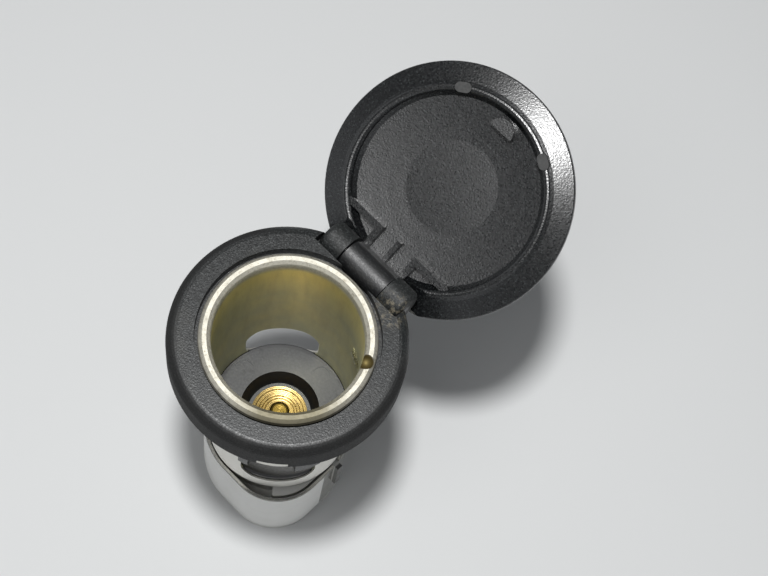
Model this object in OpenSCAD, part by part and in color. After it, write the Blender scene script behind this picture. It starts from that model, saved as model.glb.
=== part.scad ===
// Flush-mounted 12 V vehicle power socket with a hinged lid, shown with the lid swung open.
// The origin is on the socket axis at the panel face, +Z points out of the mouth
// and the lid hinge lies on the +Y side. All sizes are millimetres.

/* [Socket shell] */
// Bore that takes the plug
bore_d = 21.5; // [21:0.05:22]
// Thickness of the shell's sheet
shell_wall = 0.5; // [0.4:0.05:0.6]
// Outside diameter of the rolled lip
lip_d = 25.2; // [24.8:0.1:25.8]
// Height of the lip's top above the panel face
lip_z = 6; // [5.6:0.1:6.6]
// Radius of the lip's roll
lip_round = 0.9; // [0.8:0.05:0.95]
// Angle through which the mouth flares into the bore
flare_a = 27; // [24:1:32]
// Depth of the plug's stop, the insulator's face, below the panel face
base_depth = 29.2; // [28.6:0.1:29.4]
// Length of the shell below the insulator's face
shell_past = 4.6; // [3.4:0.1:6]
// Depth of the step inside the shell that stops the insulator
base_step = 0.25; // [0.2:0.05:0.3]
// Azimuth of the near clip window, the other is opposite
window_azimuth = -45.5; // [-60:0.5:-30]
// Width of each clip window along its chord
window_w = 11.4; // [9:0.1:12.5]
// Depth of the windows' upper edge below the panel face
window_top = 21.5; // [20.5:0.1:22.2]
// Height of each clip window
window_h = 9.1; // [8.4:0.1:9.4]
// Corner radius of the clip windows
window_corner_r = 2.8; // [1:0.1:3.4]
// Azimuth of the keying dent in the lip
dent_azimuth = 28; // [20:1:36]
// Radius of the keying dent's scoop
dent_r = 1.1; // [0.8:0.05:1.3]
// Width of the lip left standing outside the dent
dent_rim = 0.25; // [0.2:0.05:0.4]
// Azimuth of the slanted retaining slot's middle
slot_azimuth = 55.5; // [45:0.5:60]
// Depth of the retaining slot's middle below the panel face
slot_depth = 8; // [6:0.5:11]
// Slant of the retaining slot
slot_slant = 32; // [15:1:50]
// Width of the retaining slot
slot_w = 0.6; // [0.3:0.05:0.8]
// Length of the retaining slot
slot_l = 4.2; // [3:0.1:6]

/* [Bezel] */
// Outside diameter of the bezel
bezel_d = 34; // [33:0.1:35.5]
// Radius of the bezel's rounded shoulder
bezel_round = 1.6; // [0.8:0.1:2.2]
// Wall of the bezel's skirt
bezel_wall = 1.8; // [1.2:0.1:2.4]
// Azimuth of the middle of the notch in the skirt's lower edge
notch_azimuth = -50.7; // [-54:0.1:-46]
// Angle that the skirt's notch covers
notch_a = 15; // [12:0.5:18]
// Height of the skirt's notch
notch_h = 1.2; // [0.8:0.1:1.6]
// How far the bezel's face lies below the lip's top
face_drop = 0.1; // [0:0.05:0.4]
// Radial gap around the lip
lip_gap = 0.5; // [0.3:0.05:0.7]
// Thickness of the bezel's face plate under the lip
face_plate = 1.4; // [1:0.1:2]
// Radial clearance of the collar around the shell
collar_clear = 0.1; // [0.05:0.05:0.2]
// Wall of the collar around the shell
collar_wall = 1.1; // [0.8:0.05:1.4]
// Depth of the collar below the panel face
collar_depth = 9; // [5:0.5:14]
// Thickness of the snap legs
leg_t = 0.85; // [0.6:0.05:1]
// Thickness left at the snap legs' tips
leg_tip = 0.3; // [0.2:0.05:0.5]
// Angle taken by the narrow snap leg
narrow_leg_a = 7.5; // [7:0.5:13]
// How far the narrow leg's hook reaches below the window's upper edge
narrow_reach = 1.2; // [1:0.1:2]
// Angle taken by the broad snap leg
broad_leg_a = 19; // [15:0.5:23]
// How far the broad leg's hook reaches below the window's upper edge
broad_reach = 1.6; // [1.2:0.1:3]
// Clearance of the snap hooks in the windows
hook_clear = 0.15; // [0.1:0.05:0.3]

/* [Hinge] */
// Distance of the hinge axis from the socket axis
hinge_y = 15.6; // [15.3:0.05:16.2]
// Height of the hinge axis above the panel face
hinge_z = 3.5; // [3.2:0.05:3.6]
// Diameter of the lid's middle knuckle
knuckle_d = 4.5; // [4.1:0.05:4.6]
// Length of the lid's middle knuckle
middle_l = 7.7; // [7.2:0.1:8.2]
// Diameter of the bezel's outer knuckles
ear_d = 5.4; // [4.6:0.1:5.6]
// Length of each outer knuckle
ear_l = 3.85; // [3:0.05:4.2]
// Radius of the rounding on each outer knuckle's outer end
ear_round = 0.9; // [0.4:0.1:1.2]
// How far the arm's front face stays behind the middle knuckle's
arm_in = 0.1; // [0.05:0.05:0.3]
// Gap between neighbouring knuckles
knuckle_gap = 0.2; // [0.15:0.05:0.3]
// Room under and in front of the lid's knuckle
knuckle_room = 0.3; // [0.2:0.05:0.5]
// Width of the pocket in front of the knuckles
pocket_gap = 0.5; // [0.4:0.05:0.7]
// Diameter of the hinge pin
pin_d = 1.6; // [1.2:0.1:2]
// Radial clearance of the pin in the lid's knuckle
pin_clear = 0.05; // [0.02:0.01:0.09]
// Angle that the lid stands open from closed
open_angle = 148; // [130:1:150]
// Gap between the open lid's upright back and the bezel
open_clear = 0.35; // [0.25:0.05:0.6]

/* [Lid] */
// Diameter of the lid
lid_d = 37; // [36.4:0.1:38]
// Height of the closed lid's inner bead above the lip's top
bead_lift = 0.3; // [0.2:0.05:0.5]
// Distance of the bead's crest line from the lid's edge
bead_in = 3.7; // [3.4:0.1:4]
// Half width of the bead
bead_r = 0.65; // [0.45:0.05:0.8]
// Distance of the recessed floor's edge from the bead's crest line
floor_in = 1.2; // [1:0.1:1.4]
// Depth of the recessed floor under the bead's crest
floor_depth = 1.6; // [1.3:0.1:1.9]
// Depth of the shallow dish in the floor
floor_dish = 0.7; // [0.4:0.1:0.9]
// Diameter of the flat disc in the middle of the floor
disc_d = 13.6; // [12:0.1:15]
// How far the flat disc's centre lies away from the hinge
disc_off = 0.7; // [0:0.1:1]
// Height of the flat disc above the bottom of the dish
disc_h = 0.25; // [0.22:0.01:0.3]
// Depth of the rim band beside the bead under the bead's crest
band_depth = 0.4; // [0.3:0.1:0.6]
// Further fall of the rim band towards the lid's edge
band_fall = 0.8; // [0.5:0.1:1]
// Radius of the rounding along the band's outer edge
band_round = 0.3; // [0.2:0.05:0.4]
// Thickness of the lid's plate
plate_t = 1.9; // [1.5:0.1:2.4]
// Crown of the lid's outer face
crown_h = 0.3; // [0.1:0.05:0.5]
// Radius of the rounding along the lid's outer edge
lid_round = 1.6; // [1.2:0.1:1.7]
// Distance of the long hinge ribs from the lid's edge
rib_in = 8.5; // [8.1:0.1:8.9]
// Thickness of the angled hinge ribs
rib_t = 1; // [0.8:0.05:1.2]
// Distance of the short hinge ribs from the lid's middle
rib_x = 3.1; // [2.9:0.1:3.3]
// Depth of the hinge ribs' edges under the bead's crest
rib_drop = 0.3; // [0.2:0.05:0.5]
// Thickness of the middle stud rib
stud_t = 0.7; // [0.5:0.05:1]
// Distance of the rim's slanted end facets from the lid's edge
facet_in = 6; // [5.6:0.1:6.2]
// Slant of the rim's end facets
facet_tilt = 22; // [12:1:30]
// Radius of the latch bump on the lid's front
latch_r = 1.95; // [1.4:0.05:2.2]
// Sideways place of the latch bump
latch_x = 0.3; // [0:0.1:0.6]
// Distance of the latch bump's straight side from the lid's edge
latch_in = 7.05; // [6.9:0.05:7.4]
// Clearance of the latch bump over the lip when the lid is shut
latch_clear = 0.35; // [0.2:0.05:0.6]
// Sideways place of the two buffers
buffer_x = 7.8; // [6.5:0.1:9]
// Length of a buffer along the bead
buffer_l = 2.4; // [1.8:0.1:3]
// Width of a buffer across the bead
buffer_w = 1.5; // [1.2:0.05:1.7]
// Depth of a buffer's root under the bead's crest
buffer_root = 1.1; // [0.9:0.1:1.4]
// Clearance of a buffer's head over the bezel when the lid is shut
buffer_clear = 0.05; // [0.02:0.01:0.15]

/* [Base and contacts] */
// Clearance of the insulator inside the shell
base_clear = 0.05; // [0.02:0.01:0.1]
// Bevel along the insulator's upper edges
base_bevel = 0.3; // [0.2:0.05:0.5]
// Diameter of the recess in the insulator
recess_d = 12.5; // [11.5:0.1:13.5]
// Depth of the recess in the insulator
recess_h = 2.4; // [2:0.1:3]
// Width of the bare floor of the recess round the centre contact
recess_floor = 0.6; // [0.3:0.05:0.8]
// Radius of the two round moulding marks on the insulator
mark_r = 1.5; // [1:0.1:1.8]
// Azimuth of the first moulding mark
mark_azimuth = 86.5; // [70:0.5:100]
// Angle between the two moulding marks
mark_apart = 90; // [60:1:120]
// Depth of the moulding marks
mark_h = 0.12; // [0.08:0.02:0.2]
// Diameter of the centre contact
contact_d = 8.9; // [8:0.1:10]
// Thickness of the centre contact's sheet
contact_t = 0.5; // [0.4:0.05:0.7]
// Width of the flat ring that the contact rests on
contact_foot = 0.4; // [0.3:0.05:0.6]
// Number of rings pressed into the centre contact
contact_rings = 5; // [3:1:6]
// Distance from the rivet's head to the innermost ring
ring_start = 0.4; // [0.2:0.05:0.6]
// Rise from one pressed ring to the next
ring_step = 0.14; // [0.08:0.01:0.2]
// Diameter of the rivet's heads
rivet_head_d = 3.2; // [2.6:0.1:3.8]
// Height of the rivet's rounded head
rivet_head_h = 0.7; // [0.4:0.1:1]
// Thickness of the rivet's riveted-over end
rivet_end_h = 0.5; // [0.3:0.05:0.6]
// Diameter of the rivet's shank
rivet_d = 2; // [1.6:0.1:2.4]
// Width of the terminal blades
blade_w = 6.3; // [4.8:0.1:6.3]
// Thickness of the terminal blades
blade_t = 0.8; // [0.6:0.05:1]
// Distance of the positive blade from the socket axis
positive_y = 3; // [2.6:0.1:3.4]
// Distance of the ground blade from the socket axis
ground_y = 4; // [3.6:0.1:4.4]
// How far the positive terminal's tab reaches past the rivet
tab_past = 2; // [1.8:0.1:2.4]
// Free length of each blade inside the connector
blade_l = 9; // [7:0.5:10]

/* [Rear housing] */
// Half width of the rear housing across its flats
housing_half = 11.75; // [11.7:0.05:12.2]
// Radius of the rear housing's bulged corner
corner_r = 8; // [6.5:0.1:9]
// Thickness of the rear sleeve's sheet
sleeve_t = 0.4; // [0.3:0.05:0.45]
// Gap between the shell's lower edge and the sleeve's upper edge
neck_h = 0.8; // [0.5:0.1:1.2]
// How far the connector's neck stays inside the shell's outer face
neck_in = 1.2; // [0.8:0.1:1.6]
// Length of the rear housing below the shell
housing_l = 19.7; // [18:0.1:22]
// Thickness of the connector's foot plate
foot_h = 1; // [0.8:0.1:1.5]
// Depth of the pocket between the sleeve and the connector
pocket_h = 6.4; // [4:0.1:8]
// Azimuth at which the connector's shoulder begins
shoulder_azimuth = -48; // [-54:1:-42]
// Angle that the connector's shoulder covers
shoulder_a = 66; // [50:1:80]
// Width of the groove along the inside of the sleeve
groove_w = 0.4; // [0.3:0.05:0.6]
// Width of the harness opening
harness_w = 13; // [11:0.5:14]
// Breadth of the harness opening
harness_b = 11; // [10.6:0.1:11.6]
// Depth of the harness opening
harness_h = 11.5; // [10.5:0.5:12.5]
// Clearance of the terminals and the rivet in the connector
terminal_clear = 0.1; // [0.05:0.05:0.2]
// How far the latch rib stands out of the sleeve
latch_rib_out = 0.7; // [0.5:0.1:1.5]
// Place of the latch rib's near side
latch_rib_y = 1.2; // [0.8:0.05:2]
// Width of the latch rib
latch_rib_w = 1; // [0.8:0.1:2]
// Distance of the latch rib's lower end above the foot of the housing
latch_rib_up = 9.6; // [8.5:0.1:10.5]
// Drop of the latch rib's top under the sleeve's upper edge
latch_rib_drop = 0.4; // [0.2:0.1:1]
// Clearance around the latch rib in the sleeve's notch
latch_rib_clear = 0.15; // [0.1:0.05:0.3]
// Thickness of the paper label
label_t = 0.12; // [0.08:0.02:0.2]
// Distance of the label's lower edge above the foot of the housing
label_up = 1.6; // [1.4:0.1:4]
// Drop of the label under the sleeve's upper edge
label_drop = 0.3; // [0.1:0.1:0.6]
// Place of the label's near end on the flat
label_end_y = -1.2; // [-3:0.1:0]
// Place of the label's far end round the back
label_end_x = -11; // [-11.4:0.1:-8]

/* [Hidden] */
$fn = 72;
cut = 0.01;
arc_steps = 6;

bore_r = bore_d / 2;
tube_r = bore_r + shell_wall;
lip_r = lip_d / 2;
roll_at = lip_r - lip_round;
roll_z = lip_z - lip_round;
seat_z = roll_z - lip_round;
flare_r = (roll_at - bore_r - lip_round * cos(flare_a)) / (1 - cos(flare_a));
flare_z = roll_z - (flare_r - lip_round) * sin(flare_a);
shell_depth = base_depth + shell_past;
overall_depth = shell_depth + housing_l;

bezel_r = bezel_d / 2;
bezel_z = lip_z - face_drop;
counterbore_r = lip_r + lip_gap;
skirt_in_r = bezel_r - bezel_wall;
plate_under_z = seat_z - face_plate;
collar_in_r = tube_r + collar_clear;
collar_r = collar_in_r + collar_wall;
leg_r = collar_in_r + leg_t;
half_window_a = asin(window_w / 2 / tube_r);

knuckle_r = knuckle_d / 2;
ear_r = ear_d / 2;
pin_r = pin_d / 2;
ear_at = middle_l / 2 + knuckle_gap;
hinge_reach = ear_at + ear_l;
pocket_y = hinge_y - knuckle_r - pocket_gap;
pocket_z = hinge_z - knuckle_r - knuckle_room;

lid_r = lid_d / 2;
bead_at = lid_r - bead_in;
floor_r = bead_at - floor_in;
bead_z = lip_z + bead_lift;
band_z = bead_z + band_depth;
edge_z = band_z + band_fall;
floor_z = bead_z + floor_depth;
dish_z = floor_z + floor_dish;
skin_z = floor_z + plate_t;
rib_y = lid_r - rib_in;
rib_z = bead_z + rib_drop;
rib_reach = sqrt(pow(bead_at, 2) - pow(rib_y + rib_t, 2));
facet_y = lid_r - facet_in;
latch_y = lid_r - latch_in;
arm_y = hinge_y - knuckle_r + arm_in;
buffer_a = acos(buffer_x / bead_at);
head_z = bezel_z + buffer_clear;
root_z = bead_z + buffer_root;

base_r = bore_r + base_step - base_clear;
recess_r = recess_d / 2;
recess_z = -base_depth - recess_h;
contact_r = contact_d / 2;
rivet_r = rivet_d / 2;
rivet_head_r = rivet_head_d / 2;
ring_w = (contact_r - rivet_head_r - ring_start) / contact_rings;
contact_top_z = recess_z + contact_t + ring_step * contact_rings;
tab_z = -shell_depth - blade_t;
rivet_end_z = tab_z - rivet_end_h;
harness_z = -overall_depth + harness_h;
blade_end_z = harness_z - blade_l;

neck_r = tube_r - neck_in;
sleeve_z = -shell_depth - neck_h;
sleeve_end_z = -overall_depth + foot_h;
pocket_floor_z = sleeve_z - pocket_h;
notch_in = 2;

function arc(cx, cy, r, a0, a1) =
    [for (i = [0:arc_steps]) let (a = a0 + (a1 - a0) * i / arc_steps) [cx + r * cos(a), cy + r * sin(a)]];

// Wedge from the axis outwards, wide enough for every radius of the part.
module sector(a0, a1) {
    reach = 2 * bezel_r;
    polygon([[0, 0], [reach * cos(a0), reach * sin(a0)], [reach * cos(a1), reach * sin(a1)]]);
}

module rounded_rect(w, h, r) {
    translate([-w / 2 + r, -h / 2]) square([w - 2 * r, h]);
    translate([-w / 2, -h / 2 + r]) square([w, h - 2 * r]);
    for (x = [-1, 1], y = [-1, 1])
        translate([x * (w / 2 - r), y * (h / 2 - r)]) circle(r = r);
}

// Nickel-plated shell: drawn tube with a rolled lip, two clip windows and a keying dent.
module shell_profile() {
    polygon(concat(
        [[bore_r, -base_depth], [bore_r + base_step, -base_depth], [bore_r + base_step, -shell_depth],
         [tube_r, -shell_depth], [tube_r, seat_z]],
        arc(roll_at, roll_z, lip_round, -90, 180 - flare_a),
        arc(bore_r + flare_r, flare_z, flare_r, 180 - flare_a, 180)));
}

module window_cut(shrink) {
    translate([bore_r / 2, 0, -window_top - window_h / 2]) rotate([90, 0, 90]) linear_extrude(bore_r)
        rounded_rect(window_w - 2 * shrink, window_h - 2 * shrink, window_corner_r - shrink);
}

module retaining_slot() {
    rotate([0, 0, slot_azimuth]) translate([bore_r, 0, -slot_depth]) rotate([-slot_slant, 0, 0])
        cube([3 * shell_wall, slot_l, slot_w], center = true);
}

module keying_dent() {
    rotate([0, 0, dent_azimuth]) translate([lip_r - dent_rim - dent_r, 0, lip_z - dent_r / 10]) sphere(r = dent_r);
}

module shell() {
    color("gainsboro") difference() {
        rotate_extrude() shell_profile();
        for (turn = [0, 180])
            rotate([0, 0, window_azimuth + turn]) window_cut(0);
        retaining_slot();
        keying_dent();
    }
}

// Black moulded bezel: hollow skirt with a rounded shoulder, collar, snap legs and hinge ears.
module bezel_profile() {
    polygon(concat(
        [[skirt_in_r, 0], [bezel_r, 0]],
        arc(bezel_r - bezel_round, bezel_z - bezel_round, bezel_round, 0, 90),
        [[counterbore_r, bezel_z], [counterbore_r, seat_z], [collar_in_r, seat_z],
         [collar_in_r, -collar_depth], [collar_r, -collar_depth], [collar_r, plate_under_z],
         [skirt_in_r, plate_under_z]]));
}

// A leg runs down outside the shell and its hook fills the upper corner of a window.
module snap_leg(a0, a1, reach) {
    tip_z = -window_top - reach;
    intersection() {
        union() {
            rotate_extrude() polygon([[collar_in_r, -collar_depth + collar_wall],
                [leg_r, -collar_depth + collar_wall], [leg_r, -window_top],
                [collar_in_r + leg_tip, tip_z], [collar_in_r, tip_z]]);
            intersection() {
                rotate_extrude() polygon([[bore_r + hook_clear, -window_top], [collar_in_r + cut, -window_top],
                    [collar_in_r + cut, tip_z], [bore_r + hook_clear, tip_z]]);
                window_cut(hook_clear);
            }
        }
        translate([0, 0, tip_z - 1]) linear_extrude(-tip_z) sector(a0, a1);
    }
}

module snap_legs() {
    rotate([0, 0, window_azimuth]) {
        snap_leg(-half_window_a, narrow_leg_a - half_window_a, narrow_reach);
        snap_leg(half_window_a - broad_leg_a, half_window_a, broad_reach);
    }
}

// Each ear is an outer knuckle, rounded at its outer end, with a foot that runs down into the skirt.
module ear() {
    foot_out = knuckle_r * 0.3;
    web_h = knuckle_r * 0.35;
    translate([ear_at, hinge_y, hinge_z]) rotate([0, 90, 0]) rotate_extrude() polygon(concat(
        [[0, 0], [ear_r, 0]],
        arc(ear_r - ear_round, ear_l - ear_round, ear_round, 0, 90),
        [[0, ear_l]]));
    translate([ear_at, pocket_y, pocket_z]) cube([ear_l, hinge_y - pocket_y + foot_out, hinge_z - pocket_z]);
    translate([ear_at, pocket_y, hinge_z - web_h]) cube([ear_l, hinge_y - pocket_y, 2 * web_h]);
}

// Solid stretch of the skirt that backs the hinge, inside the bezel's own outline.
module hinge_block() {
    block_y = pocket_y - pocket_gap;
    intersection() {
        cylinder(r = bezel_r, h = hinge_z);
        translate([-hinge_reach, block_y, 0]) cube([2 * hinge_reach, bezel_r, hinge_z]);
    }
}

module hinge_pocket() {
    ear_pocket_x = hinge_reach + knuckle_gap;
    translate([-ear_pocket_x, pocket_y, hinge_z]) cube([2 * ear_pocket_x, bezel_r, bezel_z]);
    translate([-ear_at, pocket_y, pocket_z]) cube([2 * ear_at, bezel_r, bezel_z]);
}

module skirt_notch() {
    half = notch_a / 2;
    translate([0, 0, -notch_h]) linear_extrude(2 * notch_h) difference() {
        sector(notch_azimuth - half, notch_azimuth + half);
        circle(r = skirt_in_r - cut);
    }
}

module hinge_rod(r) {
    translate([-hinge_reach, hinge_y, hinge_z]) rotate([0, 90, 0]) cylinder(r = r, h = 2 * hinge_reach);
}

module bezel() {
    color([0.12, 0.12, 0.13]) difference() {
        union() {
            difference() {
                union() {
                    rotate_extrude() bezel_profile();
                    hinge_block();
                }
                hinge_pocket();
            }
            ear();
            mirror([1, 0, 0]) ear();
            snap_legs();
        }
        hinge_rod(pin_r);
        skirt_notch();
    }
}

module hinge_pin() {
    color("silver") hinge_rod(pin_r);
}

// The lid is drawn shut and then swung open about the hinge axis.
module swung_open() {
    translate([0, hinge_y, hinge_z]) rotate([-open_angle, 0, 0]) translate([0, -hinge_y, -hinge_z]) children();
}

module lid_profile() {
    polygon(concat(
        [for (i = [0:arc_steps]) [floor_r * i / arc_steps, dish_z - floor_dish * pow(i / arc_steps, 2)]],
        [[bead_at - bead_r, bead_z + 1.5 * bead_r]],
        arc(bead_at, bead_z + bead_r, bead_r, 180, 315),
        [[bead_at + bead_r * 1.4, band_z]],
        arc(lid_r - band_round, edge_z + band_round, band_round, -60, 0),
        arc(lid_r - lid_round, skin_z - lid_round, lid_round, 0, 90),
        [[lid_r / 2, skin_z + crown_h * 0.8], [0, skin_z + crown_h]]));
}

// The floor is dished to follow the crown and a flat disc stands in its middle.
module floor_disc() {
    translate([0, -disc_off, dish_z - disc_h]) cylinder(r = disc_d / 2, h = plate_t / 2);
}

// The lid's back is cut by the plane that stands upright behind the bezel when open.
module back_cut() {
    free_y = bezel_r - hinge_y + open_clear;
    translate([0, hinge_y, hinge_z]) rotate([open_angle, 0, 0])
        translate([-lid_r, free_y - 2 * lid_r, -2 * lid_r]) cube([2 * lid_r, 2 * lid_r, 4 * lid_r]);
}

// The bead and rim are cut away down to the floor between the short ribs.
module hinge_gap() {
    gap_x = rib_x + rib_t;
    depth = 2 * floor_depth;
    translate([-gap_x, facet_y - rib_t, floor_z - depth]) cube([2 * gap_x, lid_r, depth]);
}

module rim_facets() {
    for (side = [0, 1])
        mirror([side, 0, 0]) translate([rib_x + rib_t / 2, facet_y, bead_z]) rotate([facet_tilt, 0, 0])
            translate([0, 0, -2 * floor_depth]) cube([lid_r, lid_r, 2 * floor_depth]);
}

// Two angled ribs frame the hinge arm and a short stud rib stands between them.
module hinge_ribs() {
    rib_h = dish_z - rib_z;
    for (side = [0, 1])
        mirror([side, 0, 0]) {
            translate([rib_x, rib_y, rib_z]) cube([rib_reach - rib_x, rib_t, rib_h]);
            translate([rib_x, rib_y, rib_z]) cube([rib_t, arm_y - rib_y, rib_h]);
        }
    translate([-stud_t / 2, rib_y, rib_z]) cube([stud_t, arm_y - rib_y, rib_h]);
}

module latch_bump() {
    bump_z = lip_z + latch_clear;
    bump_h = dish_z - bump_z;
    intersection() {
        translate([latch_x, -latch_y, bump_z]) cylinder(r = latch_r, h = bump_h);
        translate([latch_x - latch_r, -latch_y - latch_r, bump_z]) cube([2 * latch_r, latch_r, bump_h]);
    }
}

module lid_arm() {
    translate([-middle_l / 2, arm_y, hinge_z]) cube([middle_l, hinge_y - arm_y, floor_z - hinge_z + cut]);
    translate([-middle_l / 2, hinge_y, hinge_z]) rotate([0, 90, 0]) cylinder(r = knuckle_r, h = middle_l);
}

module buffer_body(side) {
    straight = buffer_l - buffer_w;
    rotate([0, 0, side > 0 ? -buffer_a : buffer_a - 180]) translate([bead_at, 0, head_z])
        linear_extrude(root_z - head_z) {
            for (end = [-1, 1])
                translate([0, end * straight / 2]) circle(r = buffer_w / 2);
            translate([-buffer_w / 2, -straight / 2]) square([buffer_w, straight]);
        }
}

module lid() {
    color([0.13, 0.13, 0.14]) swung_open() difference() {
        union() {
            difference() {
                rotate_extrude() lid_profile();
                hinge_gap();
                rim_facets();
                back_cut();
            }
            floor_disc();
            hinge_ribs();
            latch_bump();
            lid_arm();
        }
        hinge_rod(pin_r + pin_clear);
        buffer_body(-1);
        buffer_body(1);
    }
}

module buffer(side) {
    color([0.32, 0.32, 0.33]) swung_open() buffer_body(side);
}

module buffer_left() { buffer(-1); }

module buffer_right() { buffer(1); }

// Dark insulating base inside the shell, with a recess for the centre contact.
module base_insulator() {
    mark_at = (base_r + recess_r) / 2;
    color([0.2, 0.2, 0.21]) difference() {
        rotate_extrude() polygon([[rivet_r, -shell_depth], [base_r, -shell_depth],
            [base_r, -base_depth - base_bevel], [base_r - base_bevel, -base_depth],
            [recess_r, -base_depth], [contact_r + recess_floor, recess_z], [rivet_r, recess_z]]);
        for (a = [0, mark_apart])
            rotate([0, 0, mark_azimuth + a]) translate([mark_at, 0, -base_depth - mark_h]) cylinder(r = mark_r, h = 1);
    }
}

// Brass contact: a shallow stepped cone of pressed rings that rests on its outer edge.
module centre_contact() {
    color("goldenrod") rotate_extrude() polygon(concat(
        [[rivet_r, contact_top_z - contact_t], [rivet_r, contact_top_z]],
        [for (i = [contact_rings - 1:-1:0])
            each [[contact_r - ring_w * (i + 0.35), recess_z + contact_t + ring_step * (i + 1)],
                  [contact_r - ring_w * (i + 0.05), recess_z + contact_t + ring_step * i]]],
        [[contact_r, recess_z + contact_t], [contact_r, recess_z], [contact_r - contact_foot, recess_z]]));
}

module contact_rivet() {
    color("gold") rotate_extrude() polygon(concat(
        [[0, rivet_end_z], [rivet_head_r, rivet_end_z], [rivet_head_r, tab_z], [rivet_r, tab_z],
         [rivet_r, contact_top_z], [rivet_head_r, contact_top_z]],
        arc(rivet_head_r - rivet_head_h, contact_top_z, rivet_head_h, 0, 90),
        [[0, contact_top_z + rivet_head_h]]));
}

// Each terminal is a bent strip: a tab under the base and a blade down into the connector.
module terminal(blade_y, tab_y, tab_l) {
    translate([-blade_w / 2, blade_y - blade_t / 2, blade_end_z])
        cube([blade_w, blade_t, tab_z + blade_t - blade_end_z]);
    translate([-blade_w / 2, tab_y, tab_z]) cube([blade_w, tab_l, blade_t]);
}

module positive_terminal() {
    tab_y = -positive_y - blade_t / 2;
    color("khaki") difference() {
        terminal(-positive_y, tab_y, tab_past - tab_y);
        translate([0, 0, tab_z - 1]) cylinder(r = rivet_r, h = blade_t + 2);
    }
}

module ground_terminal() {
    tab_y = ground_y - blade_t / 2;
    color("silver") intersection() {
        terminal(ground_y, tab_y, tube_r);
        translate([0, 0, -overall_depth]) cylinder(r = tube_r - collar_clear, h = overall_depth);
    }
}

// Plan of the rear housing: round, with one square corner bulged out beside the near window.
module housing_plan(grow) {
    half = housing_half + grow;
    flat = housing_half - corner_r;
    circle(r = half);
    translate([0, -half]) square([flat, half]);
    translate([0, -flat]) square([half, flat]);
    translate([flat, -flat]) circle(r = corner_r + grow);
}

module shoulder() {
    translate([0, 0, pocket_floor_z - cut]) linear_extrude(pocket_h + cut) intersection() {
        housing_plan(-sleeve_t - groove_w);
        sector(shoulder_azimuth, shoulder_azimuth + shoulder_a);
    }
}

module latch_rib(clear) {
    end_z = -overall_depth + latch_rib_up - clear;
    translate([housing_half - notch_in, latch_rib_y - clear, end_z])
        cube([notch_in + latch_rib_out, latch_rib_w + 2 * clear, sleeve_z - latch_rib_drop - end_z]);
}

module connector_solid() {
    translate([0, 0, -overall_depth]) linear_extrude(foot_h) housing_plan(0);
    translate([0, 0, -overall_depth]) linear_extrude(pocket_floor_z + overall_depth) housing_plan(-sleeve_t);
    translate([0, 0, pocket_floor_z - cut]) cylinder(r = neck_r, h = -shell_depth - pocket_floor_z + cut);
    shoulder();
    latch_rib(0);
}

module terminal_slots() {
    slot_w = blade_w + 2 * terminal_clear;
    slot_t = blade_t + 2 * terminal_clear;
    for (y = [-positive_y, ground_y])
        translate([-slot_w / 2, y - slot_t / 2, harness_z - 1]) cube([slot_w, slot_t, -harness_z]);
    translate([-slot_w / 2, -positive_y - slot_t / 2, tab_z])
        cube([slot_w, positive_y + slot_t / 2 + tube_r, blade_t + 1]);
    translate([0, 0, rivet_end_z - terminal_clear])
        cylinder(r = rivet_head_r + terminal_clear, h = rivet_end_h + terminal_clear + cut);
}

// Light moulded connector body: neck, shoulder, foot plate and the harness opening below.
module connector_body() {
    harness_y = (ground_y - positive_y) / 2;
    color([0.62, 0.62, 0.58]) difference() {
        connector_solid();
        terminal_slots();
        translate([-harness_w / 2, harness_y - harness_b / 2, -overall_depth - 1])
            cube([harness_w, harness_b, harness_h + 1]);
    }
}

module rear_sleeve() {
    color("lightgray") difference() {
        translate([0, 0, sleeve_end_z]) linear_extrude(sleeve_z - sleeve_end_z) difference() {
            housing_plan(0);
            housing_plan(-sleeve_t);
        }
        latch_rib(latch_rib_clear);
        translate([0, 0, latch_rib_drop]) latch_rib(latch_rib_clear);
    }
}

// Bare paper label wrapped round the flat, the bulged corner and part of the next flat.
module label() {
    end_z = -overall_depth + label_up;
    color("white") translate([0, 0, end_z]) linear_extrude(sleeve_z - label_drop - end_z) intersection() {
        difference() {
            housing_plan(label_t);
            housing_plan(0);
        }
        translate([label_end_x, label_end_y - 2 * housing_half]) square([3 * housing_half, 2 * housing_half]);
    }
}

bezel();
lid();
hinge_pin();
buffer_left();
buffer_right();
shell();
base_insulator();
centre_contact();
contact_rivet();
positive_terminal();
ground_terminal();
connector_body();
rear_sleeve();
label();
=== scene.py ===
import math
import bpy
import bmesh
from mathutils import Matrix, Vector


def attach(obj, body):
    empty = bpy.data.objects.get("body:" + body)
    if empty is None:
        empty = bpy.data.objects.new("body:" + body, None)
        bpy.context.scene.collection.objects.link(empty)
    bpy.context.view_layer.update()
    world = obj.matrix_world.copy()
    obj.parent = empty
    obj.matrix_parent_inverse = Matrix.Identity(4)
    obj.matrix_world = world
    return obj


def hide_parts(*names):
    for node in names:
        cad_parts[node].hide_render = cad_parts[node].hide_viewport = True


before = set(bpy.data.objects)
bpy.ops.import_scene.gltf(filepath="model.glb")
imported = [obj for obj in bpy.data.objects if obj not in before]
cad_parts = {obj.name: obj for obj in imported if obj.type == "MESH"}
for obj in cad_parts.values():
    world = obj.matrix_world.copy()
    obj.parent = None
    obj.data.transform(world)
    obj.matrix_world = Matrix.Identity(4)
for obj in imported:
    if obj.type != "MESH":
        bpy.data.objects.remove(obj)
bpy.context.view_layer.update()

mm = 0.001
scene = bpy.context.scene


view = {
    "place": (51.991, -62.839, 241.693),      # millimetres from the bore's axis at the panel face
    "right": (0.70070626, 0.70774473, 0.09004518),
    "down": (0.68763295, -0.63630519, -0.34968077),
    "ahead": (-0.1901885, 0.30694154, -0.93253162),
    "lens": 84.375,
    "sensor": 36.0,
    "clip": (0.01, 20),                       # metres
}

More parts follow.
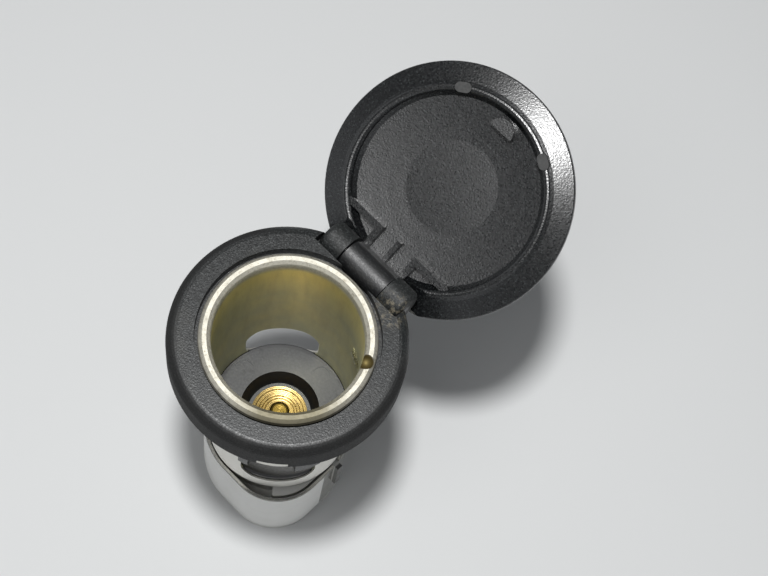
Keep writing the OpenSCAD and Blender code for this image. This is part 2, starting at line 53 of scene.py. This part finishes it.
light = {
    "floorZ": -53.5,                # the part's foot
    "floorHalf": 3,                 # metres
    "floorRough": 0.85,
    "floorColour": (0.66, 0.67, 0.67),
    "skyColour": (0.95, 0.97, 1.0),
    "skyStrength": (0.75, 0.1),    # at the horizon and overhead
    "skyHeight": (0.08, 0.5),       # sines of the heights between which it darkens
    "backStrength": 0.8,            # what the camera sees past the floor
    "keyPlace": (4, -32, 408),      # places and sizes in millimetres
    "keySize": 42,
    "keyWatts": 1.75,
    "fillPlace": (-5, -160, 370),
    "fillSize": 170,
    "fillWatts": 0.21,
}


def makeCamera():
    data = bpy.data.cameras.new("photoCamera")
    data.sensor_width = view["sensor"]
    data.lens = view["lens"]
    data.clip_start, data.clip_end = view["clip"]
    camera = bpy.data.objects.new("photoCamera", data)
    right, down, ahead = (Vector(view[k]) for k in ("right", "down", "ahead"))
    turn = Matrix((right, -down, -ahead)).transposed()
    camera.matrix_world = Matrix.Translation(Vector(view["place"]) * mm) @ turn.to_4x4()
    scene.collection.objects.link(camera)
    scene.camera = camera


def makeLamp(name, place, size, watts):
    data = bpy.data.lights.new(name, "AREA")
    data.shape = "DISK"
    data.size = size * mm
    data.energy = watts
    lamp = bpy.data.objects.new(name, data)
    lamp.location = Vector(place) * mm
    lamp.rotation_euler = (-lamp.location).to_track_quat("-Z", "Y").to_euler()
    scene.collection.objects.link(lamp)


def makeWorld():
    world = bpy.data.worlds.new("studio")
    world.use_nodes = True
    tree = world.node_tree
    back = tree.nodes["Background"]
    back.inputs["Color"].default_value = (*light["skyColour"], 1)
    path = tree.nodes.new("ShaderNodeLightPath")
    heading = tree.nodes.new("ShaderNodeSeparateXYZ")
    tree.links.new(tree.nodes.new("ShaderNodeTexCoord").outputs["Generated"], heading.inputs["Vector"])
    sky = tree.nodes.new("ShaderNodeMapRange")
    sky.interpolation_type = "SMOOTHSTEP"
    for socket, value in zip(("From Min", "From Max", "To Min", "To Max"),
                             light["skyHeight"] + light["skyStrength"]):
        sky.inputs[socket].default_value = value
    tree.links.new(heading.outputs["Z"], sky.inputs["Value"])
    seen = tree.nodes.new("ShaderNodeMix")
    seen.inputs["B"].default_value = light["backStrength"]
    tree.links.new(path.outputs["Is Camera Ray"], seen.inputs["Factor"])
    tree.links.new(sky.outputs["Result"], seen.inputs["A"])
    tree.links.new(seen.outputs["Result"], back.inputs["Strength"])
    scene.world = world


def makeFloor():
    mesh = bpy.data.meshes.new("floor")
    bm = bmesh.new()
    bmesh.ops.create_grid(bm, x_segments=1, y_segments=1, size=light["floorHalf"])
    bmesh.ops.translate(bm, vec=(0, 0, light["floorZ"] * mm), verts=bm.verts)
    bm.to_mesh(mesh)
    bm.free()
    floor = bpy.data.objects.new("floor", mesh)
    scene.collection.objects.link(floor)
    material = bpy.data.materials.new("paleFloor")
    material.use_nodes = True
    shader = material.node_tree.nodes["Principled BSDF"]
    shader.inputs["Base Color"].default_value = (*light["floorColour"], 1)
    shader.inputs["Roughness"].default_value = light["floorRough"]
    mesh.materials.append(material)


scene.view_settings.view_transform = "Standard"
makeCamera()
makeLamp("keyLamp", light["keyPlace"], light["keySize"], light["keyWatts"])
makeLamp("fillLamp", light["fillPlace"], light["fillSize"], light["fillWatts"])
makeWorld()
makeFloor()
print("view, light and floor made")


class Finish:
    # one Principled material and the nodes that feed it
    def __init__(self, name, colour, roughness=0.5, metallic=0.0, **sockets):
        self.material = bpy.data.materials.new(name)
        self.material.use_nodes = True
        self.tree = self.material.node_tree
        self.shader = self.tree.nodes["Principled BSDF"]
        self.shader.inputs["Base Color"].default_value = (*colour, 1)
        self.shader.inputs["Roughness"].default_value = roughness
        self.shader.inputs["Metallic"].default_value = metallic
        for socket, value in sockets.items():
            self.shader.inputs[socket.replace("_", " ")].default_value = value
        self.place = self.node("ShaderNodeTexCoord").outputs["Object"]

    def node(self, kind, **settings):
        made = self.tree.nodes.new(kind)
        for key, value in settings.items():
            setattr(made, key, value)
        return made

    def link(self, source, target):
        self.tree.links.new(source, target)

    def value(self, node, **inputs):
        for key, value in inputs.items():
            socket = node.inputs[key.replace("_", " ")]
            if isinstance(value, bpy.types.NodeSocket):
                self.link(value, socket)
            else:
                socket.default_value = value
        return node

    def noise(self, scale, detail=3.0, rough=0.5, stretch=None):
        vector = self.place
        if stretch:
            mapping = self.node("ShaderNodeMapping")
            self.link(self.place, mapping.inputs["Vector"])
            mapping.inputs["Scale"].default_value = stretch
            vector = mapping.outputs["Vector"]
        made = self.node("ShaderNodeTexNoise")
        self.value(made, Vector=vector, Scale=scale, Detail=detail, Roughness=rough)
        return made.outputs["Fac"]

    def ramp(self, fac, stops):
        made = self.node("ShaderNodeValToRGB")
        self.link(fac, made.inputs["Fac"])
        elements = made.color_ramp.elements
        while len(elements) < len(stops):
            elements.new(1.0)
        for element, (at, colour) in zip(elements, stops):
            element.position = at
            element.color = (*colour, 1)
        return made.outputs["Color"]

    def mix(self, fac, a, b):
        made = self.node("ShaderNodeMix", data_type="RGBA")
        for key, value in (("Factor", fac), ("A", a), ("B", b)):
            socket = next(s for s in made.inputs if s.name == key and s.enabled)
            if isinstance(value, bpy.types.NodeSocket):
                self.link(value, socket)
            else:
                socket.default_value = value if key == "Factor" else (*value, 1)
        return next(s for s in made.outputs if s.enabled)

    def math(self, operation, a, b=0.0):
        made = self.node("ShaderNodeMath", operation=operation)
        for socket, value in zip(made.inputs, (a, b)):
            if isinstance(value, bpy.types.NodeSocket):
                self.link(value, socket)
            else:
                socket.default_value = value
        return made.outputs["Value"]

    def between(self, value, low, high, to=(0.0, 1.0)):
        made = self.node("ShaderNodeMapRange")
        self.value(made, Value=value, From_Min=low, From_Max=high, To_Min=to[0], To_Max=to[1])
        return made.outputs["Result"]

    def betweenMm(self, value, low, high, to=(0.0, 1.0)):
        return self.between(value, low * mm, high * mm, to)

    def spread(self, noise, to=(0.0, 1.0)):
        # the middle of a noise, opened out to the whole of a range
        return self.between(noise, 0.3, 0.7, to)

    def capped(self, value, gain, most=1.0):
        return self.math("MINIMUM", self.math("MULTIPLY", value, gain), most)

    def axes(self):
        made = self.node("ShaderNodeSeparateXYZ")
        self.link(self.place, made.inputs["Vector"])
        return made.outputs["X"], made.outputs["Y"], made.outputs["Z"]

    def radius(self, x, y):
        return self.math("SQRT", self.math("ADD", self.math("MULTIPLY", x, x), self.math("MULTIPLY", y, y)))

    def near(self, centre, reach):
        # 1 at a place in millimetres, falling to 0 at its reach
        made = self.node("ShaderNodeVectorMath", operation="DISTANCE")
        self.link(self.place, made.inputs[0])
        made.inputs[1].default_value = [c * mm for c in centre]
        return self.between(made.outputs["Value"], reach * mm, 0.0)

    def bump(self, height, distance):
        made = self.node("ShaderNodeBump")
        self.value(made, Height=height, Distance=distance, Strength=1.0)
        self.link(made.outputs["Normal"], self.shader.inputs["Normal"])

    def colour(self, source):
        self.link(source, self.shader.inputs["Base Color"])

    def rough(self, source):
        self.link(source, self.shader.inputs["Roughness"])


bezelPlastic = {
    "tones": ((0.005, 0.006, 0.006), (0.016, 0.018, 0.018), (0.065, 0.07, 0.07)),
    "sideShadeTone": (0.003, 0.003, 0.003),       # painted shade on the skirt's shoulder and outside
    "sideShadeShare": 0.85,
    "sideRough": 0.5,
    "dustTone": (0.07, 0.068, 0.058),
    "dust": 0.3,
    "wornTone": (0.16, 0.14, 0.1),
    "grainScale": 4300,
    "grainDepth": 0.000028,
    "rough": (0.3, 0.46),
    "sheen": 0.5,
    "density": 1.5,
}

lidPlastic = {
    "tones": ((0.002, 0.002, 0.003), (0.003, 0.004, 0.004), (0.045, 0.05, 0.052)),
    "sideShadeTone": (0.002, 0.002, 0.003),
    "sideShadeShare": 0.0,                        # the lid's side is as the rest
    "sideRough": 0.0,
    "dustTone": (0.04, 0.04, 0.038),
    "dust": 0.06,
    "wornTone": (0.1, 0.09, 0.07),
    "grainScale": 4000,
    "grainDepth": 0.000034,
    "rough": (0.24, 0.36),
    "sheen": 1.0,
    "density": 1.5,
}

# what both black mouldings share; places, radii and heights in millimetres
blackWear = {
    "specks": (0.4, 0.58, 0.72),             # where the three tones lie in the grain
    "grainDetail": (2.0, 0.6),
    "gritScale": 0.9,                        # of the grain's
    "filmScale": 260,
    "filmSpan": (0.5, 0.8),
    "worn": ((6.9, 13.2, 5.0), 3.4),         # the rubbed ear: place and reach
    "wornScale": 1300,
    "wornDetail": (5.0, 0.7),
    "wornSpan": (0.5, 0.62),
    "wornGain": (1.6, 0.9),
    "sideRadii": (15.4, 16.2),
    "sideFront": (11, 8),                    # the skirt's painted shade and roughness end short of the hinge
    "hinge": (15.6, 3.5),
    "hingeRadii": (3.4, 3.0),
    "hingeRough": 0.2,
}


def mouldedBlack(name, look):
    w = blackWear
    f = Finish(name, look["tones"][0], Specular_IOR_Level=look["sheen"], IOR=look["density"])
    grain = f.noise(look["grainScale"], *w["grainDetail"])
    tone = f.ramp(grain, list(zip(w["specks"], look["tones"])))
    film = f.math("MULTIPLY", f.between(f.noise(w["filmScale"]), *w["filmSpan"]), look["dust"])
    tone = f.mix(film, tone, look["dustTone"])
    rubbed = f.between(f.noise(w["wornScale"], *w["wornDetail"]), *w["wornSpan"])
    worn = f.math("MULTIPLY", f.near(*w["worn"]), rubbed)
    tone = f.mix(f.capped(worn, *w["wornGain"]), tone, look["wornTone"])
    x, y, z = f.axes()
    # painted shade: the skirt's shoulder and outside are darkened in colour, and also made rougher
    skirtShadeAndRough = f.math("MULTIPLY", f.betweenMm(f.radius(x, y), *w["sideRadii"]), f.betweenMm(y, *w["sideFront"]))
    skirtShadeAndRough = f.math("MULTIPLY", skirtShadeAndRough, look["sideShadeShare"])
    f.colour(f.mix(skirtShadeAndRough, tone, look["sideShadeTone"]))
    hingeY, hingeZ = (f.math("SUBTRACT", axis, at * mm) for axis, at in zip((y, z), w["hinge"]))
    soft = f.betweenMm(f.radius(hingeY, hingeZ), *w["hingeRadii"], (0.0, w["hingeRough"]))
    grit = f.spread(f.noise(look["grainScale"] * w["gritScale"], 1.0), look["rough"])
    soft = f.math("ADD", soft, f.math("MULTIPLY", skirtShadeAndRough, look["sideRough"]))
    f.rough(f.math("ADD", grit, soft))
    f.bump(grain, look["grainDepth"])
    return f


nickel = {
    "lip": (0.66, 0.64, 0.56),
    "lipWorn": (0.4, 0.37, 0.29),
    "lipRough": (0.58, 0.72),
    "lipScale": 2600,
    "lipDetail": (4.0, 0.7),
    "lipSpan": (0.5, 0.72),
    # painted shade: the lip is darker on its front right
    "lipShade": (0.24, 0.215, 0.14),
    "lipShadePlace": ((8.6, -8.0, 5.4), 9.0),       # places and reaches in millimetres
    "lipShadeGain": (1.6, 0.85),
    "wall": (0.62, 0.63, 0.42),
    "wallTan": (0.74, 0.72, 0.42),
    "tanScale": 220,
    "tanSpan": (0.35, 0.7),
    # painted light: the wall is brighter, in a more golden tone, towards the mouth
    "wallLitGold": (0.98, 0.88, 0.38),
    "litGoldHeights": (-6, 2),
    "wallRadii": (11.1, 10.7),
    "wallHeights": (4.6, 3.4),
    "wallRough": (0.44, 0.54),
    "streakTone": (0.25, 0.2, 0.08),
    "streakScale": 700,
    "streakDetail": (4.0, 0.6, (1, 1, 0.2)),
    "streakSpan": (0.45, 0.75),
    "streakShare": 0.2,
    "dent": ((9.93, 5.28, 5.6), 1.25),
    "dentHeights": (6.1, 5.8),
    "dentGain": 5.0,
    "dentTone": (0.17, 0.135, 0.055),
    "barrel": (0.74, 0.73, 0.69),
    "barrelHeights": (1, 0),
    "scratchScale": 900,
    "scratchDetail": (4.0, 0.7, (1, 1, 0.15)),
    "scratchDepth": 0.000005,
}


def nickelShell():
    n = nickel
    f = Finish("nickelPlate", n["lip"], metallic=1.0)
    x, y, z = f.axes()
    inside = f.betweenMm(f.radius(x, y), *n["wallRadii"])
    wall = f.math("MULTIPLY", inside, f.betweenMm(z, *n["wallHeights"]))
    dent = f.capped(f.math("MULTIPLY", f.near(*n["dent"]), f.betweenMm(z, *n["dentHeights"])), n["dentGain"])
    tone = f.mix(f.between(f.noise(n["tanScale"], 4.0), *n["tanSpan"]), n["wall"], n["wallTan"])
    # painted light: the wall is brighter and more golden towards the mouth
    tone = f.mix(f.betweenMm(z, *n["litGoldHeights"]), tone, n["wallLitGold"])
    streak = f.noise(n["streakScale"], *n["streakDetail"])
    streak = f.between(streak, *n["streakSpan"], (0.0, n["streakShare"]))
    tone = f.mix(streak, tone, n["streakTone"])
    scuff = f.between(f.noise(n["lipScale"], *n["lipDetail"]), *n["lipSpan"])
    lip = f.mix(scuff, n["lip"], n["lipWorn"])
    # painted shade on the lip's front right
    lip = f.mix(f.capped(f.near(*n["lipShadePlace"]), *n["lipShadeGain"]), lip, n["lipShade"])
    outside = f.mix(f.betweenMm(z, *n["barrelHeights"]), lip, n["barrel"])
    f.colour(f.mix(dent, f.mix(wall, outside, tone), n["dentTone"]))
    scratch = f.noise(n["scratchScale"], *n["scratchDetail"])
    dull = f.math("MULTIPLY", wall, f.spread(scratch, n["wallRough"]))
    bright = f.math("MULTIPLY", f.math("SUBTRACT", 1.0, wall), f.spread(scratch, n["lipRough"]))
    f.rough(f.math("ADD", dull, bright))
    f.bump(scratch, n["scratchDepth"])
    return f


insulator = {
    "tones": ((0.008, 0.009, 0.009), (0.03, 0.032, 0.032)),
    "toneSpan": (0.3, 0.75),
    "sheen": 0.8,
    "density": 1.5,
    "gapAndRecessShade": (0.006, 0.006, 0.006),
    "gapShadeRadii": (10.15, 10.3),              # painted shade in the gap beside the shell
    "slopeShadeRadii": (5.1, 5.2, 6.2, 6.3),      # painted shade on the recess's slope, from its floor to the face
    "grainScale": 2600,
    "grainDepth": 0.00001,
    "roughScale": 1400,
    "rough": (0.34, 0.48),
}


def insulatorMoulding():
    i = insulator
    f = Finish("insulatorPlastic", i["tones"][0], Specular_IOR_Level=i["sheen"], IOR=i["density"])
    x, y, z = f.axes()
    out = f.radius(x, y)
    floor, foot, brow, face = i["slopeShadeRadii"]
    slopeShade = f.math("MULTIPLY", f.betweenMm(out, floor, foot), f.betweenMm(out, face, brow))
    grain = f.noise(i["grainScale"])
    tone = f.mix(f.between(grain, *i["toneSpan"]), *i["tones"])
    # painted shade on the recess's slope and in the gap beside the shell
    f.colour(f.mix(f.math("MAXIMUM", slopeShade, f.betweenMm(out, *i["gapShadeRadii"])), tone, i["gapAndRecessShade"]))
    f.rough(f.spread(f.noise(i["roughScale"], 2.0), i["rough"]))
    f.bump(grain, i["grainDepth"])
    return f


moulding = {
    "toneSpan": (0.3, 0.75),
    "patchScale": 0.4,             # of the grain's
    "roughSwing": 0.08,
    "grainDepth": 0.000012,
}


def mouldedGrain(f, scale, rough):
    m = moulding
    grain = f.noise(scale)
    patches = f.noise(scale * m["patchScale"], 2.0)
    f.rough(f.spread(patches, (rough - m["roughSwing"], rough + m["roughSwing"])))
    f.bump(grain, m["grainDepth"])
    return grain


rubber = {
    "tones": ((0.02, 0.021, 0.021), (0.045, 0.045, 0.044)),
    "grainScale": 2500,
    "rough": 0.6,
}


def bufferRubber():
    f = Finish("bufferRubber", rubber["tones"][0], rubber["rough"])
    grain = mouldedGrain(f, rubber["grainScale"], rubber["rough"])
    f.colour(f.mix(f.between(grain, *moulding["toneSpan"]), *rubber["tones"]))
    return f


housing = {
    "body": (0.6, 0.6, 0.57),
    "rib": (0.1, 0.1, 0.095),
    "ribX": (11.7, 11.9),          # painted shade: the latch rib is darker than the rest
    "grainScale": 1400,
    "rough": 0.5,
}


def housingMoulding():
    f = Finish("housingPlastic", housing["body"], housing["rough"])
    mouldedGrain(f, housing["grainScale"], housing["rough"])
    x, y, z = f.axes()
    # painted shade on the latch rib
    f.colour(f.mix(f.betweenMm(x, *housing["ribX"]), housing["body"], housing["rib"]))
    return f


brass = {
    "ringScale": 1400.0,
    "ringWander": 0.6,
    "ringDepth": 0.00001,
    "roughSwing": (-0.07, 0.09),
    "stainScale": 900,
    "stainSpan": (0.45, 0.75),
    "stainShare": 0.62,
}


def pressedBrass(name, colour, rough):
    b = brass
    f = Finish(name, colour, rough, 1.0)
    rings = f.node("ShaderNodeTexWave", wave_type="RINGS", rings_direction="Z")
    f.value(rings, Vector=f.place, Scale=b["ringScale"], Distortion=b["ringWander"], Detail=2.0)
    stained = tuple(c * b["stainShare"] for c in colour)
    f.colour(f.mix(f.between(f.noise(b["stainScale"], 4.0), *b["stainSpan"]), colour, stained))
    f.rough(f.between(rings.outputs["Fac"], 0.0, 1.0, tuple(rough + swing for swing in b["roughSwing"])))
    f.bump(rings.outputs["Fac"], b["ringDepth"])
    return f


steel = {
    "lineScale": 2500,
    "lineDetail": (4.0, 0.6),
    "lineDepth": 0.000006,
    "roughSwing": (-0.06, 0.1),
    "stainScale": 500,
    "stainSpan": (0.4, 0.8),
    "stainShare": 0.75,
}


def drawnLines(f, rough, stretch):
    lines = f.noise(steel["lineScale"], *steel["lineDetail"], stretch)
    f.rough(f.spread(lines, tuple(rough + swing for swing in steel["roughSwing"])))
    f.bump(lines, steel["lineDepth"])


def sheetSteel(name, colour, rough, stretch):
    f = Finish(name, colour, rough, 1.0)
    drawnLines(f, rough, stretch)
    stained = tuple(c * steel["stainShare"] for c in colour)
    f.colour(f.mix(f.between(f.noise(steel["stainScale"]), *steel["stainSpan"]), colour, stained))
    return f


pin = {
    "steel": (0.5, 0.5, 0.49),
    "end": (0.02, 0.02, 0.02),     # blackened, as the photo shows no bright end
    "endX": (7.4, 7.6),
    "rough": 0.3,
    "stretch": (0.1, 1, 1),
}


def hingePin():
    f = Finish("pinSteel", pin["steel"], pin["rough"], 1.0)
    drawnLines(f, pin["rough"], pin["stretch"])
    x, y, z = f.axes()
    f.colour(f.mix(f.betweenMm(f.math("ABSOLUTE", x), *pin["endX"]), pin["steel"], pin["end"]))
    return f


paper = {
    "clean": (0.64, 0.64, 0.62),
    "smudged": (0.5, 0.5, 0.47),
    "smudgeScale": 180,
    "smudgeSpan": (0.5, 0.8),
    "smudgeShare": 0.35,
    "fibreScale": 3000,
    "fibreDepth": 0.000015,
    "rough": 0.55,
}


def labelPaper():
    f = Finish("labelPaper", paper["clean"], paper["rough"])
    smudge = f.between(f.noise(paper["smudgeScale"]), *paper["smudgeSpan"])
    smudge = f.math("MULTIPLY", smudge, paper["smudgeShare"])
    f.colour(f.mix(smudge, paper["clean"], paper["smudged"]))
    f.bump(f.noise(paper["fibreScale"], 4.0), paper["fibreDepth"])
    return f


finishes = {
    "bezel": mouldedBlack("bezelPlastic", bezelPlastic),
    "lid": mouldedBlack("lidPlastic", lidPlastic),
    "hinge_pin": hingePin(),
    "buffer_left": bufferRubber(),
    "shell": nickelShell(),
    "base_insulator": insulatorMoulding(),
    "centre_contact": pressedBrass("contactBrass", (0.31, 0.225, 0.09), 0.26),
    "contact_rivet": pressedBrass("rivetBrass", (0.18, 0.125, 0.03), 0.34),
    "positive_terminal": pressedBrass("terminalBrass", (0.75, 0.6, 0.34), 0.35),
    "ground_terminal": sheetSteel("terminalTin", (0.62, 0.62, 0.6), 0.32, (1, 1, 0.1)),
    "connector_body": housingMoulding(),
    "rear_sleeve": sheetSteel("sleeveSteel", (0.8, 0.79, 0.74), 0.16, (1, 1, 0.06)),
    "label": labelPaper(),
}
finishes["buffer_right"] = finishes["buffer_left"]

for node, finish in finishes.items():
    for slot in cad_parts[node].material_slots:
        slot.material = finish.material
print("materials made for", len(finishes), "nodes")


def addPiece(name, bm, finish):
    mesh = bpy.data.meshes.new(name)
    bm.to_mesh(mesh)
    bm.free()
    mesh.materials.append(finish.material)
    piece = bpy.data.objects.new(name, mesh)
    scene.collection.objects.link(piece)
    return piece


contact = {
    "outer": 4.45,
    "inner": 1.85,             # where the last land ends, beside the rivet's head
    "hole": 1.05,
    "footZ": -31.6,            # the recess floor that it rests on
    "footInset": 0.5,
    "sheet": 0.4,
    "innerZ": -30.95,          # underside of the rivet's head
    "landTilt": 0.014,         # each land leans towards the middle
    "grooves": (3.85, 3.3, 2.8, 2.35),
    "grooveWidth": 0.13,
    "grooveDepth": 0.05,
    "segments": 128,
    "weld": 1e-7,              # metres
}


def dishedContact():
    # pressed lands and fine grooves, turned as one closed ring
    c = contact
    top = c["footZ"] + c["sheet"]
    rims = (c["outer"], *c["grooves"], c["inner"])
    rise = (c["innerZ"] - top) / (len(rims) - 1)
    half = c["grooveWidth"] / 2
    profile = [(c["outer"], c["footZ"]), (c["outer"], top)]
    for i, (outer, inner) in enumerate(zip(rims, rims[1:])):
        z = top + rise * i
        profile.append((outer - half, z + c["landTilt"]))
        profile.append((inner + half, z))
        if inner in c["grooves"]:
            profile.append((inner, z - c["grooveDepth"]))
    profile.append((c["hole"], c["innerZ"]))
    profile.append((c["hole"], c["innerZ"] - c["sheet"]))
    profile.append((c["outer"] - c["footInset"], c["footZ"]))
    bm = bmesh.new()
    verts = [bm.verts.new((r * mm, 0, z * mm)) for r, z in profile]
    edges = [bm.edges.new(pair) for pair in zip(verts, verts[1:] + verts[:1])]
    bmesh.ops.spin(bm, geom=verts + edges, cent=(0, 0, 0), axis=(0, 0, 1), angle=math.tau,
                   steps=c["segments"], use_merge=True)
    bmesh.ops.remove_doubles(bm, verts=bm.verts, dist=c["weld"])
    bmesh.ops.recalc_face_normals(bm, faces=bm.faces)
    piece = addPiece("contactRings", bm, finishes["centre_contact"])
    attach(piece, "socket")
    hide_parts("centre_contact")


slotLip = {
    "azimuth": 55.5,           # degrees
    "slant": 32,
    "depth": -8.0,
    "length": 3.9,
    "reach": 0.6,              # past the bore's wall, each way
    "thick": 0.2,
    "edge": 0.05,
    "boreRadius": 10.75,
    "below": 0.48,             # under the slot's middle line
    "colour": (0.85, 0.83, 0.75),
    "rough": 0.25,
    "stretch": (1, 1, 0.2),
}


def slottedLip():
    # strip of the shell pushed inwards along the retaining slot's lower edge
    s = slotLip
    slant = Matrix.Rotation(math.radians(-s["slant"]), 3, "X")
    azimuth = Matrix.Rotation(math.radians(s["azimuth"]), 3, "Z")
    bm = bmesh.new()
    bmesh.ops.create_cube(bm, size=1.0)
    bmesh.ops.scale(bm, vec=(s["reach"] * 2, s["length"], s["thick"]), verts=bm.verts)
    bmesh.ops.bevel(bm, geom=bm.edges[:], offset=s["edge"], affect="EDGES", segments=2,
                    profile=0.5, material=-1)
    bmesh.ops.translate(bm, vec=(0, 0, -s["below"]), verts=bm.verts)
    bmesh.ops.rotate(bm, cent=(0, 0, 0), matrix=slant, verts=bm.verts)
    bmesh.ops.translate(bm, vec=(s["boreRadius"], 0, s["depth"]), verts=bm.verts)
    bmesh.ops.rotate(bm, cent=(0, 0, 0), matrix=azimuth, verts=bm.verts)
    bmesh.ops.scale(bm, vec=(mm, mm, mm), verts=bm.verts)
    piece = addPiece("slotLip", bm, sheetSteel("slotEdge", s["colour"], s["rough"], s["stretch"]))
    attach(piece, "socket")


dishedContact()
slottedLip()
print("contact rings and slot lip made")

scene.view_layers[0].update()
